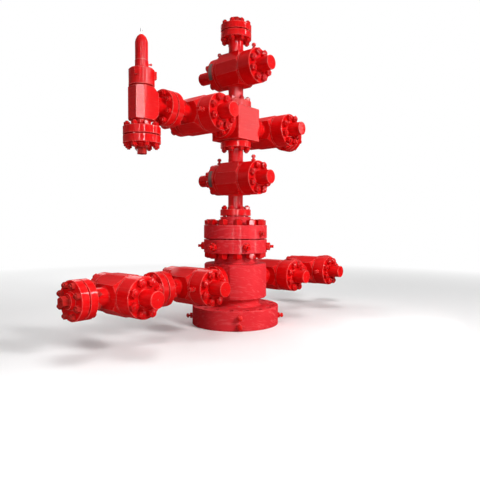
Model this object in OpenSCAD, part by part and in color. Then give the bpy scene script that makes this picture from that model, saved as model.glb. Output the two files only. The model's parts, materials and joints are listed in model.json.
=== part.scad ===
// Oil wellhead valve stack, in millimetres. A tubing head stands on its bottom flange, with two
// casing valves on each side. On it an adapter carries the master valve, the cross with a wing
// valve on each side, the choke at the end of the left wing, and the swab valve under the cap.
// The origin is the centre of the bottom flange's underside. +Z runs up the well bore, X along
// the wings, and the valve stems point towards -Y.

/* [Tubing head] */
// Radius of the bottom flange
base_r = 327; // [322:1:360]
// Thickness of the bottom flange
base_t = 141.3; // [125:0.1:160]
// Distance of the bottom flange's bolt circle from its rim
base_edge = 44.425; // [41:0.005:49]
// Number of bolts in the bottom flange
base_bolt_count = 16; // [12:4:16]
// Radius of a bolt hole in the bottom flange
base_hole_r = 23.8; // [18:0.1:25]
// Radius of the bore at the bottom flange
base_bore_r = 139.7; // [120:0.1:145]
// Depth of the wide bore from the bottom flange's underside
base_bore_depth = 180; // [150:1:190]
// Radius of the neck above the bottom flange
head_neck_r = 185; // [170:1:200]
// Height of the neck above the bottom flange
head_neck_h = 61; // [56:1:80]
// Radius of the fillet at the foot of the neck
head_neck_fillet = 18; // [6:1:24]
// Radius of the barrel that carries the side outlets
head_barrel_r = 236; // [233:1:239]
// Height of the barrel
head_barrel_h = 258; // [250:1:280]
// Distance of the flat outlet faces from the centre
head_flat_x = 203.1; // [198:0.1:206]
// Height of the side outlets above the foot of the barrel
outlet_rise = 131.4; // [124:0.1:134]
// Chamfer on the barrel's edges
head_barrel_chamfer = 9; // [2:1:16]
// Radius of the hub between barrel and top flange
head_hub_r = 160; // [150:1:168]
// Height of the hub, which leaves room for the nuts
head_hub_h = 80.5; // [78:0.5:110]
// Radius of the bore through the head above the wide bore
head_bore_r = 89; // [80:1:100]

/* [Large flange pair] */
// Radius of the large flanges
large_flange_r = 239.7; // [237:0.1:250]
// Thickness of each large flange
large_flange_t = 103.2; // [100:0.1:115]
// Radius of the large raised face
large_raised_r = 151; // [145:1:165]
// Distance of the large bolt circle from the rim
large_edge = 38.1; // [36:0.1:41]
// Number of bolts in the large flange pair
large_bolt_count = 12; // [12:12:12]
// Radius of a bolt hole in the large flanges
large_hole_r = 20.6; // [16:0.1:21]
// Radius of the adapter's hub above its flange
adapter_hub_r = 125; // [120:0.5:136]
// Height of the adapter's hub up to the studded top
adapter_hub_h = 66.8; // [60:0.1:80]
// Radius of the bore through the adapter
adapter_bore_r = 50; // [40:1:60]

/* [Small flanges] */
// Radius of the small flanges
flange_r = 115.8; // [114:0.1:118]
// Thickness of a small flange
flange_t = 51.2; // [46:0.1:56]
// Radius of the small raised face
raised_r = 66; // [60:1:72]
// Height of every raised face
raised_h = 3; // [2:0.5:5]
// Distance of the small bolt circle from the rim
small_edge = 23.7; // [22:0.1:26]
// Number of bolts in a small flange
bolt_count = 8; // [8:4:8]
// Radius of a bolt hole in a small flange
hole_r = 12.7; // [9:0.1:13.5]
// Radius of a tapped hole for a flange stud
tapped_r = 11.1; // [8:0.1:12]
// Depth of that tapped hole
tapped_depth = 22; // [16:1:24]
// Radius of the flow bore
flow_r = 32.5; // [26:0.5:36]
// Chamfer on flange rims
rim_chamfer = 2.5; // [1:0.5:5]

/* [Gate valve] */
// Length of a valve over its two flange faces
valve_length = 565; // [545:1:600]
// Radius of the necks between barrel and flanges
neck_r = 56; // [50:1:60]
// Radius of the fillets at both ends of a neck
neck_fillet = 9; // [3:1:14]
// Distance of the barrel's four flats from the stem axis
barrel_flat = 121.5; // [118:0.5:123]
// Half the width of the two flats that carry the necks
neck_flat_half = 72; // [68:1:78]
// Half the width of the two flats at the sides
side_flat_half = 43; // [36:1:52]
// Length along the stem over which the barrel's corners slope down to a collar
corner_run = 30; // [24:1:36]
// Distance from the flow axis to the barrel's front face
barrel_front = 120; // [116:1:132]
// Distance from the flow axis to the barrel's rear face
barrel_rear = 126; // [118:1:140]
// Radius of the front bonnet and of the collar behind it
bonnet_r = 123.5; // [122:0.5:130]
// How much smaller the rear bonnet and its collar are
rear_step = 3; // [0:0.5:6]
// Length of the front collar
collar_t = 11; // [8:1:18]
// Length of the rear collar
rear_collar_t = 22; // [10:1:30]
// Length of the slope behind each collar
collar_slope = 12; // [8:1:18]
// Thickness of the front bonnet's disc
front_bonnet_t = 105; // [70:1:110]
// Thickness of the rear bonnet's disc
rear_bonnet_t = 60; // [50:1:80]
// Width of the visible joint at the rim of a bonnet
bonnet_joint = 2; // [1:0.5:4]
// Depth of that joint from the rim
bonnet_joint_depth = 6; // [3:0.5:8]
// Distance of the bonnets' bolt circle from the front bonnet's rim
bonnet_edge = 29; // [27:0.5:32]
// Number of bolts in a bonnet
bonnet_bolt_count = 8; // [8:4:8]
// Radius of a bolt hole in a bonnet
bonnet_hole_r = 15; // [11:0.5:16]
// Depth of the tapped holes behind a bonnet
bonnet_tapped_depth = 36; // [24:1:38]
// Radius of the stem cap
stem_cap_r = 50.5; // [46:0.1:54]
// Length of the stem cap in front of the disc
stem_cap_length = 109; // [90:1:150]
// Radius of the tail cap
tail_cap_r = 47; // [42:1:50]
// Length of the tail cap behind the disc
tail_cap_length = 174; // [120:1:190]
// Radius of the centre mark in a stem cap
centre_mark_r = 3.5; // [2:0.5:6]
// Depth of that mark
centre_mark_depth = 8; // [4:1:14]
// Radius of the shank of a grease fitting
fitting_shank_r = 8; // [6:0.5:10]
// Depth of the hole for a grease fitting
fitting_hole_depth = 16; // [10:1:20]
// Height of a grease fitting above the rim it stands on
fitting_height = 46; // [30:1:54]
// Size of the choke's grease fitting beside a valve's
choke_fitting_scale = 0.5; // [0.4:0.01:1]

/* [Cross] */
// Half the length of the cross along the wings
cross_half_x = 122.3; // [122:0.1:135]
// Half the depth of the cross along the stems
cross_half_y = 132.3; // [122:0.1:140]
// Half the height of the cross
cross_half_z = 122.5; // [122:0.1:140]
// Chamfer on the cross's edges
cross_chamfer = 4; // [1:0.5:8]

/* [Choke] */
// Distance from the choke's inlet face to its vertical axis
choke_reach = 204.6; // [198:0.1:230]
// Distance from the wing axis down to the choke's outlet face
choke_drop = 201.5; // [196:0.1:225]
// Distance of the choke body's square faces from its axis
choke_flat = 74; // [70:1:80]
// Chamfer on the two corners that face away from the tree
choke_corner = 35; // [20:1:45]
// Height of the choke body above the wing axis
choke_top = 90.5; // [84:0.5:100]
// Depth of the choke body below the wing axis
choke_bottom = 108.5; // [100:0.5:118]
// Radius of the turned ends of the choke body
choke_turned_r = 80; // [74:1:88]
// Radius of the threaded neck under the hammer nut
choke_thread_r = 58; // [52:1:62]
// Height of the threaded neck
choke_thread_h = 58; // [50:1:70]
// Radius of the hammer nut
hammer_nut_r = 79.5; // [74:0.5:86]
// Height of the hammer nut
hammer_nut_h = 104; // [96:1:115]
// Width of the dark joint under the hammer nut
hammer_nut_gap = 8; // [4:1:12]
// How far the lugs stand proud of the hammer nut
lug_proud = 12; // [8:1:18]
// Width of a lug
lug_w = 30; // [20:1:40]
// Height of a lug
lug_h = 46; // [30:1:60]
// Distance of the lugs below the top of the nut
lug_drop = 8; // [4:1:14]
// Radius of the choke bonnet's tube
choke_tube_r = 39.5; // [34:0.5:44]
// How much thicker the tube is below its joint
choke_tube_step = 1.5; // [0.5:0.5:3]
// Height of the tube above the hammer nut
choke_tube_h = 163; // [140:1:200]
// Height of the pointed dome on the tube
choke_cone_h = 47; // [40:1:70]
// Radius at the top of the dome
choke_tip_r = 13; // [10:1:18]
// Radius of the indicator rod
rod_r = 3.6; // [3:0.1:6]
// Radius of the rod's head
rod_head_r = 6.4; // [5:0.1:9]
// Length of the rod's head
rod_head_l = 17; // [10:1:24]
// Length of rod that shows above the dome
rod_out = 40; // [30:1:70]
// Length of rod inside the dome
rod_in = 40; // [20:1:60]

/* [Companion flanges and plugs] */
// Radius of the boss where it meets the flange
boss_foot_r = 52; // [48:1:58]
// Radius of the boss at its face
boss_face_r = 44; // [40:1:48]
// Height of the boss
boss_h = 22; // [16:1:34]
// Width across flats of a hex plug
plug_flats = 56; // [44:1:58]
// Length of a plug outside the boss
plug_hex_l = 40; // [30:1:60]
// Radius of the round collar at the foot of a plug's hexagon
plug_collar_r = 36; // [33:1:39]
// Thickness of that collar
plug_collar_t = 6; // [3:1:10]
// Radius of a plug's shank
plug_shank_r = 30; // [26:0.5:34]
// Length of a plug's shank
plug_shank_l = 45; // [30:1:60]
// Radius of the hole in the end of a plug
plug_hole_r = 9; // [4:0.5:12]

/* [Small fittings] */
// Number of tie-down screws in the head's top flange
tie_down_count = 6; // [3:3:6]
// Radius of the spot face round a tie-down screw
tie_down_spot_r = 34; // [30:1:37]
// Depth of that spot face from the rim
tie_down_spot_depth = 4; // [3:0.5:6]
// Width across flats of a tie-down's gland nut
tie_down_flats = 50; // [42:1:54]
// Thickness of a gland nut
tie_down_nut_t = 30; // [22:1:34]
// Radius of the tie-down screw's end
tie_down_screw_r = 11; // [8:0.5:13]
// How far the screw's end stands out of its gland nut
tie_down_screw_out = 26; // [10:1:34]
// Radius of the gland nut's shank
tie_down_shank_r = 17; // [14:0.5:18]
// Length of the gland nut's shank
tie_down_shank_l = 60; // [40:1:70]
// Radius of a test port's shank
port_shank_r = 9; // [7:0.5:11]
// Length of a test port's shank in the metal
port_shank_l = 24; // [16:1:30]
// Width across flats of a test port's hexagon
port_flats = 36; // [28:1:40]
// Thickness of a test port's hexagon
port_hex_t = 18; // [12:1:22]
// Radius of the waist between a test port's hexagon and its cap
port_waist_r = 9; // [6:0.5:11]
// Radius of a test port's cap
port_cap_r = 16.5; // [12:0.5:19]
// Length of a test port's waist and cap
port_cap_l = 28; // [18:1:32]
// Clearance all round a shank in its hole
clearance = 0.3; // [0.2:0.1:0.6]

/* [Hidden] */
$fn = 96;
cut = 1;

paint = [0.80, 0.07, 0.09];
head_paint = [0.80, 0.13, 0.16];
primer = [0.45, 0.08, 0.07];
steel = [0.72, 0.73, 0.75];

valve_half = valve_length / 2;

head_barrel_z = base_t + head_neck_h;
head_hub_z = head_barrel_z + head_barrel_h;
head_flange_z = head_hub_z + head_hub_h;
head_top_z = head_flange_z + large_flange_t;
outlet_z = head_barrel_z + outlet_rise;

adapter_z = head_top_z;
adapter_hub_z = adapter_z + large_flange_t;
adapter_top_z = adapter_hub_z + adapter_hub_h;

master_z = adapter_top_z + valve_half;
cross_z = master_z + valve_half + cross_half_z;
swab_z = cross_z + cross_half_z + valve_half;
tree_top_z = swab_z + valve_half;

wing_x = cross_half_x + valve_half;
wing_end_x = wing_x + valve_half;
inner_x = head_flat_x + valve_half;
outer_x = inner_x + valve_length;
casing_end_x = outer_x + valve_half;

choke_x = -wing_end_x - choke_reach;

base_bolt_circle_r = base_r - base_edge;
large_bolt_circle_r = large_flange_r - large_edge;
bolt_circle_r = flange_r - small_edge;
bonnet_circle_r = bonnet_r - bonnet_edge;

half_step = 180 / bolt_count;
bonnet_half_step = 180 / bonnet_bolt_count;
base_half_step = 180 / base_bolt_count;
large_half_step = 180 / large_bolt_count;

// Each valve: name, place of its centre, whether its flow runs along X, and the side of its
// front bonnet's grease fitting along the flow
VALVES = [
    ["master_valve", [0, 0, master_z], false, 1],
    ["swab_valve", [0, 0, swab_z], false, 1],
    ["left_wing_valve", [-wing_x, 0, cross_z], true, -1],
    ["right_wing_valve", [wing_x, 0, cross_z], true, 1],
    ["left_inner_casing_valve", [-inner_x, 0, outlet_z], true, -1],
    ["left_outer_casing_valve", [-outer_x, 0, outlet_z], true, 1],
    ["right_inner_casing_valve", [inner_x, 0, outlet_z], true, 1],
    ["right_outer_casing_valve", [outer_x, 0, outlet_z], true, -1],
];

// Each closed end: name, centre of its flange face, and the turn that points +Z outwards
CLOSED_ENDS = [
    ["tree_cap", [0, 0, tree_top_z], [0, 0, 0]],
    ["right_wing", [wing_end_x, 0, cross_z], [0, 90, 0]],
    ["left_casing", [-casing_end_x, 0, outlet_z], [0, -90, 0]],
    ["right_casing", [casing_end_x, 0, outlet_z], [0, 90, 0]],
    ["choke_outlet", [choke_x, 0, cross_z - choke_drop], [180, 0, 0]],
];

// Copies of the children on a circle round Z
module ring_of(count, circle_r, start) {
    for (i = [0 : count - 1])
        rotate([0, 0, start + i * 360 / count])
            translate([circle_r, 0, 0])
                children();
}

// The children turned so that +Z points along -Y, the way the stem caps point
module along_stem() {
    rotate([90, 0, 0]) children();
}

// A hexagonal prism given by its width across flats
module hex_prism(flats, length) {
    cylinder(r = flats / 2 / cos(30), h = length, $fn = 6);
}

// Section of a fillet in the corner between a shaft and the face below it
module fillet_section(shaft_r, fillet_r) {
    difference() {
        translate([shaft_r - cut, 0]) square([fillet_r + cut, fillet_r]);
        translate([shaft_r + fillet_r, fillet_r]) circle(fillet_r);
    }
}

// A flange with its raised face at z = 0 and its back at z = t
module flange_disc(r, t, face_r) {
    rotate_extrude()
        polygon([
            [0, 0], [face_r, 0], [face_r + raised_h, raised_h], [r - rim_chamfer, raised_h],
            [r, raised_h + rim_chamfer], [r, t - rim_chamfer], [r - rim_chamfer, t], [0, t]
        ]);
}

module small_flange() {
    flange_disc(flange_r, flange_t, raised_r);
}

module small_flange_holes() {
    ring_of(bolt_count, bolt_circle_r, half_step)
        translate([0, 0, -cut]) cylinder(r = hole_r, h = flange_t + 2 * cut);
}

// Tapped holes for flange studs, sunk from z = 0 downwards
module small_tapped_holes() {
    ring_of(bolt_count, bolt_circle_r, half_step)
        translate([0, 0, -tapped_depth]) cylinder(r = tapped_r, h = tapped_depth + cut);
}

// A flange, its neck and their fillet: face at z = 0, the neck runs up to z = length
module flanged_neck(length) {
    small_flange();
    cylinder(r = neck_r, h = length);
    translate([0, 0, flange_t]) rotate_extrude() fillet_section(neck_r, neck_fillet);
}

module tubing_head() {
    color(head_paint) difference() {
        union() {
            tubing_head_turned();
            translate([0, 0, head_top_z]) mirror([0, 0, 1])
                flange_disc(large_flange_r, large_flange_t, large_raised_r);
        }
        tubing_head_bores();
        ring_of(base_bolt_count, base_bolt_circle_r, base_half_step)
            translate([0, 0, -cut]) cylinder(r = base_hole_r, h = base_t + 2 * cut);
        translate([0, 0, head_flange_z])
            ring_of(large_bolt_count, large_bolt_circle_r, large_half_step)
                translate([0, 0, -cut]) cylinder(r = large_hole_r, h = large_flange_t + 2 * cut);
        for (side = [0, 1])
            mirror([side, 0, 0]) translate([head_flat_x, 0, outlet_z]) rotate([0, 90, 0]) {
                translate([0, 0, -head_flat_x]) cylinder(r = flow_r, h = head_flat_x + cut);
                small_tapped_holes();
            }
        at_tie_downs() tie_down_hole();
        at_base_ports() port_hole();
    }
}

// Bottom flange, neck, flat-sided barrel and hub as one forging
module tubing_head_turned() {
    rotate_extrude()
        polygon([
            [0, 0], [base_r - rim_chamfer, 0], [base_r, rim_chamfer], [base_r, base_t - rim_chamfer],
            [base_r - rim_chamfer, base_t], [0, base_t]
        ]);
    translate([0, 0, base_t]) rotate_extrude() fillet_section(head_neck_r, head_neck_fillet);
    cylinder(r = head_neck_r, h = head_barrel_z + cut);
    intersection() {
        translate([0, 0, head_barrel_z]) rotate_extrude() head_barrel_section();
        translate([-head_flat_x, -2 * head_barrel_r, 0])
            cube([2 * head_flat_x, 4 * head_barrel_r, head_top_z]);
    }
    cylinder(r = head_hub_r, h = head_flange_z + cut);
    translate([0, 0, head_hub_z]) rotate_extrude() fillet_section(head_hub_r, neck_fillet);
}

module head_barrel_section() {
    polygon([
        [0, 0], [head_barrel_r - head_barrel_chamfer, 0], [head_barrel_r, head_barrel_chamfer],
        [head_barrel_r, head_barrel_h - head_barrel_chamfer],
        [head_barrel_r - head_barrel_chamfer, head_barrel_h], [0, head_barrel_h]
    ]);
}

// The wide bottom bore, a cone above it, and the narrower bore up to the top
module tubing_head_bores() {
    cone_h = base_bore_r - head_bore_r;
    translate([0, 0, -cut]) cylinder(r = base_bore_r, h = base_bore_depth + cut);
    translate([0, 0, base_bore_depth]) cylinder(r1 = base_bore_r, r2 = head_bore_r, h = cone_h);
    cylinder(r = head_bore_r, h = head_top_z + cut);
}

// Radial places round the head's top flange, with +Z pointing out of the rim at its radius
module at_tie_downs() {
    for (i = [0 : tie_down_count - 1])
        rotate([0, 0, i * 360 / tie_down_count])
            translate([large_flange_r, 0, head_flange_z + large_flange_t * 0.45])
                rotate([0, 90, 0]) children();
}

module tie_down_hole() {
    translate([0, 0, -tie_down_spot_depth])
        cylinder(r = tie_down_spot_r, h = tie_down_spot_depth + cut);
    translate([0, 0, -tie_down_spot_depth - tie_down_shank_l])
        cylinder(r = tie_down_shank_r + clearance, h = tie_down_shank_l + cut);
}

// Gland nuts and screw ends of the lock-down screws round the head's top flange
module tie_down_screws() {
    color(paint) at_tie_downs() translate([0, 0, -tie_down_spot_depth]) {
        translate([0, 0, -tie_down_shank_l])
            cylinder(r = tie_down_shank_r, h = tie_down_shank_l + cut);
        hex_prism(tie_down_flats, tie_down_nut_t);
        cylinder(r = tie_down_screw_r, h = tie_down_nut_t + tie_down_screw_out);
    }
}

// Places of the test ports round the bottom flange, with +Z pointing out of its rim
module at_base_ports() {
    low_z = base_t * 0.24;
    left_z = base_t * 0.42;
    right_z = base_t * 0.36;
    high_z = base_t * 0.68;
    for (place = [[226, low_z], [226, high_z], [46, low_z], [46, high_z], [136, left_z], [316, right_z]])
        rotate([0, 0, place[0]])
            translate([base_r, 0, place[1]]) rotate([0, 90, 0]) children();
}

// Place of the test port in the adapter's rim
module at_adapter_port() {
    rotate([0, 0, -90])
        translate([large_flange_r, 0, adapter_z + large_flange_t * 0.4])
            rotate([0, 90, 0]) children();
}

module port_hole() {
    translate([0, 0, -port_shank_l]) cylinder(r = port_shank_r + clearance, h = port_shank_l + cut);
}

module test_port() {
    translate([0, 0, -port_shank_l]) cylinder(r = port_shank_r, h = port_shank_l + cut);
    translate([0, 0, clearance]) hex_prism(port_flats, port_hex_t);
    rotate_extrude() port_cap_section();
}

// Section of the waist and the domed cap outside a test port's hexagon
module port_cap_section() {
    waist = port_hex_t + port_cap_l * 0.25;
    top = port_hex_t + port_cap_l;
    polygon([
        [0, 0], [port_waist_r, 0], [port_waist_r, waist], [port_cap_r, waist + port_cap_l * 0.1],
        [port_cap_r, top - port_cap_l * 0.25], [port_cap_r * 0.7, top - port_cap_l * 0.08],
        [port_cap_r * 0.3, top], [0, top]
    ]);
}

module test_ports() {
    color(paint) {
        at_base_ports() test_port();
        at_adapter_port() test_port();
    }
}

// Large flange below, studded top for the master valve above
module tubing_head_adapter() {
    color(paint) difference() {
        union() {
            translate([0, 0, adapter_z]) flange_disc(large_flange_r, large_flange_t, large_raised_r);
            translate([0, 0, adapter_hub_z]) adapter_hub();
            translate([0, 0, adapter_hub_z])
                rotate_extrude() fillet_section(adapter_hub_r, neck_fillet);
        }
        translate([0, 0, adapter_z - cut])
            cylinder(r1 = adapter_bore_r, r2 = flow_r, h = large_flange_t + cut);
        cylinder(r = flow_r, h = adapter_top_z + cut);
        translate([0, 0, adapter_z])
            ring_of(large_bolt_count, large_bolt_circle_r, large_half_step)
                translate([0, 0, -cut]) cylinder(r = large_hole_r, h = large_flange_t + 2 * cut);
        translate([0, 0, adapter_top_z]) small_tapped_holes();
        at_adapter_port() port_hole();
    }
}

module adapter_hub() {
    top = adapter_hub_h;
    rotate_extrude()
        polygon([
            [0, -cut], [adapter_hub_r, -cut], [adapter_hub_r, top * 0.2], [flange_r, top * 0.4],
            [flange_r, top - raised_h - rim_chamfer], [flange_r - rim_chamfer, top - raised_h],
            [raised_r + raised_h, top - raised_h], [raised_r, top], [0, top]
        ]);
}

// Corners of the barrel's cross-section: four flats joined by four diagonal facets. X is the
// side and Y the flow.
function barrel_corners() = [
    for (turn = [0 : 3])
        for (end = [-1, 1])
            let (
                a = turn * 90,
                half = turn % 2 == 0 ? side_flat_half : neck_flat_half
            )
            [barrel_flat * cos(a) - end * half * sin(a), barrel_flat * sin(a) + end * half * cos(a)]
];

// Faceted barrel between a turned collar at each end, along the stem axis
module valve_barrel() {
    front_end = barrel_front - collar_t;
    rear_end = barrel_rear - rear_collar_t;
    along_stem() {
        intersection() {
            translate([0, 0, -rear_end]) linear_extrude(front_end + rear_end) polygon(barrel_corners());
            barrel_envelope(-rear_end, front_end);
        }
        translate([0, 0, barrel_front]) mirror([0, 0, 1]) barrel_collar(bonnet_r, collar_t);
        translate([0, 0, -barrel_rear]) barrel_collar(bonnet_r - rear_step, rear_collar_t);
    }
    for (end = [0, 1])
        mirror([0, 0, end]) translate([0, 0, -barrel_flat]) mirror([0, 0, 1])
            rotate_extrude() fillet_section(neck_r, neck_fillet);
}

// Turned outline that slopes the barrel's corners down to the collars
module barrel_envelope(low, high) {
    rear_r = bonnet_r - rear_step;
    drop = norm([barrel_flat, neck_flat_half]) - rear_r + 1;
    rotate_extrude()
        polygon([
            [0, low], [rear_r, low], [rear_r + drop, low + corner_run],
            [bonnet_r + drop, high - corner_run], [bonnet_r, high], [0, high]
        ]);
}

module barrel_collar(r, length) {
    foot = length + collar_slope;
    rotate_extrude() polygon([[0, 0], [r, 0], [r, length], [r - collar_slope, foot], [0, foot]]);
}

// One gate valve's body, with the flow along Z and the stem towards -Y
module valve_body() {
    difference() {
        union() {
            valve_barrel();
            for (end = [0, 1])
                mirror([0, 0, end]) translate([0, 0, -valve_half]) flanged_neck(valve_half);
        }
        translate([0, 0, -valve_half - cut]) cylinder(r = flow_r, h = valve_length + 2 * cut);
        for (end = [0, 1])
            mirror([0, 0, end]) translate([0, 0, -valve_half]) small_flange_holes();
        along_stem() {
            translate([0, 0, barrel_front]) bonnet_tapped_holes();
            translate([0, 0, -barrel_rear]) mirror([0, 0, 1]) bonnet_tapped_holes();
        }
    }
}

module bonnet_tapped_holes() {
    ring_of(bonnet_bolt_count, bonnet_circle_r, bonnet_half_step)
        translate([0, 0, -bonnet_tapped_depth])
            cylinder(r = bonnet_hole_r, h = bonnet_tapped_depth + cut);
}

// Section of a bonnet that stands on z = 0: disc, then a cap of its own radius and length
module bonnet_section(disc_r, disc_t, cap_r, cap_length, cap_chamfer) {
    top = disc_t + cap_length;
    inner_r = disc_r - bonnet_joint_depth;
    polygon([
        [0, 0], [inner_r, 0], [inner_r, bonnet_joint], [disc_r, bonnet_joint],
        [disc_r, disc_t - rim_chamfer], [disc_r - rim_chamfer, disc_t], [cap_r, disc_t],
        [cap_r, top - cap_chamfer], [cap_r - cap_chamfer, top], [0, top]
    ]);
}

module bonnet_bolt_holes(disc_t) {
    ring_of(bonnet_bolt_count, bonnet_circle_r, bonnet_half_step)
        translate([0, 0, -cut]) cylinder(r = bonnet_hole_r, h = disc_t + 2 * cut);
}

// Front bonnet with the stem cap. The fitting's side is +1 or -1 along the flow.
module front_bonnet(fitting_side) {
    difference() {
        along_stem() translate([0, 0, barrel_front])
            rotate_extrude()
                bonnet_section(bonnet_r, front_bonnet_t, stem_cap_r, stem_cap_length, rim_chamfer);
        along_stem() translate([0, 0, barrel_front]) bonnet_bolt_holes(front_bonnet_t);
        along_stem() translate([0, 0, barrel_front + front_bonnet_t + stem_cap_length - centre_mark_depth])
            cylinder(r = centre_mark_r, h = centre_mark_depth + cut);
        at_front_fitting(fitting_side) fitting_hole();
    }
}

module rear_bonnet(fitting_side) {
    difference() {
        along_stem() translate([0, 0, -barrel_rear]) mirror([0, 0, 1])
            rotate_extrude()
                bonnet_section(bonnet_r - rear_step, rear_bonnet_t, tail_cap_r, tail_cap_length, tail_cap_r / 5);
        along_stem() translate([0, 0, -barrel_rear]) mirror([0, 0, 1])
            bonnet_bolt_holes(rear_bonnet_t);
        at_rear_fitting(fitting_side) fitting_hole();
    }
}

// Place of the grease fitting on the front bonnet's rim, with +Z pointing out of the rim
module at_front_fitting(side) {
    translate([0, -barrel_front - front_bonnet_t * 0.5, side * bonnet_r])
        rotate([side > 0 ? 0 : 180, 0, 0]) children();
}

// The same for the rear bonnet
module at_rear_fitting(side) {
    translate([0, barrel_rear + rear_bonnet_t * 0.68, side * (bonnet_r - rear_step)])
        rotate([side > 0 ? 0 : 180, 0, 0]) children();
}

module fitting_hole(k = 1) {
    translate([0, 0, -fitting_hole_depth])
        cylinder(r = fitting_shank_r * k + clearance, h = fitting_hole_depth + cut);
}

// Straight grease fitting, k times a valve's: shank, hexagon and capped stem
module grease_fitting(k = 1) {
    r = fitting_shank_r * k;
    h = fitting_height * k;
    translate([0, 0, -fitting_hole_depth]) cylinder(r = r, h = fitting_hole_depth + cut);
    translate([0, 0, clearance]) hex_prism(3.5 * r, h * 0.28);
    cylinder(r = r * 1.12, h = h * 0.7);
    translate([0, 0, h * 0.58]) cylinder(r = r * 1.95, h = h * 0.3);
    translate([0, 0, h * 0.8]) cylinder(r = r * 1.3, h = h * 0.2);
}

// Two fittings on each valve and one on the choke's bonnet
module grease_fittings() {
    color(paint) {
        for (v = VALVES)
            at_valve(v) {
                at_front_fitting(v[3]) grease_fitting();
                at_rear_fitting(v[3]) grease_fitting();
            }
        at_choke_fitting() grease_fitting(choke_fitting_scale);
    }
}

// Place of the grease fitting on the choke's tube, with +Z pointing out of it
module at_choke_fitting() {
    nut_top = choke_top + hammer_nut_gap + hammer_nut_h;
    translate([choke_x, 0, cross_z + nut_top + choke_tube_h * 0.17])
        rotate([0, 0, -48])
            translate([choke_tube_r + choke_tube_step, 0, 0]) rotate([0, 90, 0]) children();
}

// Puts a valve that is modelled with its flow along Z in its place
module at_valve(valve) {
    translate(valve[1]) rotate([0, valve[2] ? 90 : 0, 0]) children();
}

module cross_block() {
    color(paint) translate([0, 0, cross_z]) difference() {
        chamfered_block([2 * cross_half_x, 2 * cross_half_y, 2 * cross_half_z], cross_chamfer);
        translate([0, 0, -cross_half_z - cut]) cylinder(r = flow_r, h = 2 * (cross_half_z + cut));
        rotate([0, 90, 0])
            translate([0, 0, -cross_half_x - cut]) cylinder(r = flow_r, h = 2 * (cross_half_x + cut));
        for (end = [0, 1]) {
            mirror([0, 0, end]) translate([0, 0, cross_half_z]) small_tapped_holes();
            mirror([end, 0, 0]) translate([cross_half_x, 0, 0]) rotate([0, 90, 0]) small_tapped_holes();
        }
    }
}

// A block with its twelve edges chamfered, centred on the origin
module chamfered_block(size, chamfer) {
    intersection() {
        block_prism(size[0], size[1], size[2], chamfer);
        rotate([0, 90, 0]) block_prism(size[2], size[1], size[0], chamfer);
        rotate([90, 0, 0]) block_prism(size[0], size[2], size[1], chamfer);
    }
}

module block_prism(x, y, z, chamfer) {
    a = x / 2;
    b = y / 2;
    translate([0, 0, -z / 2]) linear_extrude(z)
        polygon([
            [-a + chamfer, -b], [a - chamfer, -b], [a, -b + chamfer], [a, b - chamfer],
            [a - chamfer, b], [-a + chamfer, b], [-a, b - chamfer], [-a, -b + chamfer]
        ]);
}

// Choke body: square block with two cut corners, inlet to the right and outlet below
module choke_body() {
    color(paint) translate([choke_x, 0, cross_z]) difference() {
        union() {
            choke_block();
            translate([choke_reach, 0, 0]) rotate([0, -90, 0]) flanged_neck(choke_reach);
            translate([0, 0, -choke_drop]) flanged_neck(choke_drop);
            cylinder(r = choke_thread_r, h = choke_top + choke_thread_h);
        }
        translate([0, 0, -choke_drop - cut]) cylinder(r = flow_r, h = choke_drop + choke_top);
        rotate([0, 90, 0]) cylinder(r = flow_r, h = choke_reach + cut);
        translate([0, 0, -choke_drop]) small_flange_holes();
        translate([choke_reach, 0, 0]) rotate([0, -90, 0]) small_flange_holes();
    }
}

module choke_block() {
    slope = choke_flat * 0.5;
    wide_r = choke_turned_r + slope * 0.7;
    a = choke_flat;
    c = choke_corner;
    intersection() {
        translate([0, 0, -choke_bottom])
            linear_extrude(choke_top + choke_bottom)
                polygon([[-a + c, -a], [a, -a], [a, a], [-a + c, a], [-a, a - c], [-a, -a + c]]);
        rotate_extrude()
            polygon([
                [0, -choke_bottom], [choke_turned_r, -choke_bottom], [wide_r, -choke_bottom + slope],
                [wide_r, choke_top - slope], [choke_turned_r, choke_top], [0, choke_top]
            ]);
    }
}

// The nut that draws the bonnet down on the threaded neck, with three lugs to strike
module choke_hammer_nut() {
    flange_h = hammer_nut_h * 0.25;
    foot = choke_top + hammer_nut_gap;
    seat = choke_top + choke_thread_h + flange_h;
    top = foot + hammer_nut_h;
    lug_foot = top - lug_h - lug_drop;
    color(paint) translate([choke_x, 0, cross_z]) difference() {
        union() {
            translate([0, 0, foot]) rotate_extrude()
                polygon([
                    [0, 0], [hammer_nut_r - rim_chamfer, 0], [hammer_nut_r, rim_chamfer],
                    [hammer_nut_r, hammer_nut_h - 3 * rim_chamfer],
                    [hammer_nut_r - 3 * rim_chamfer, hammer_nut_h], [0, hammer_nut_h]
                ]);
            for (angle = [94, 214, 334])
                rotate([0, 0, angle])
                    translate([0, -lug_w / 2, lug_foot]) cube([hammer_nut_r + lug_proud, lug_w, lug_h]);
        }
        translate([0, 0, foot - cut])
            cylinder(r = choke_thread_r + clearance, h = seat - foot + cut);
        translate([0, 0, foot])
            cylinder(r = choke_tube_r + choke_tube_step + clearance, h = hammer_nut_h + cut);
    }
}

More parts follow.
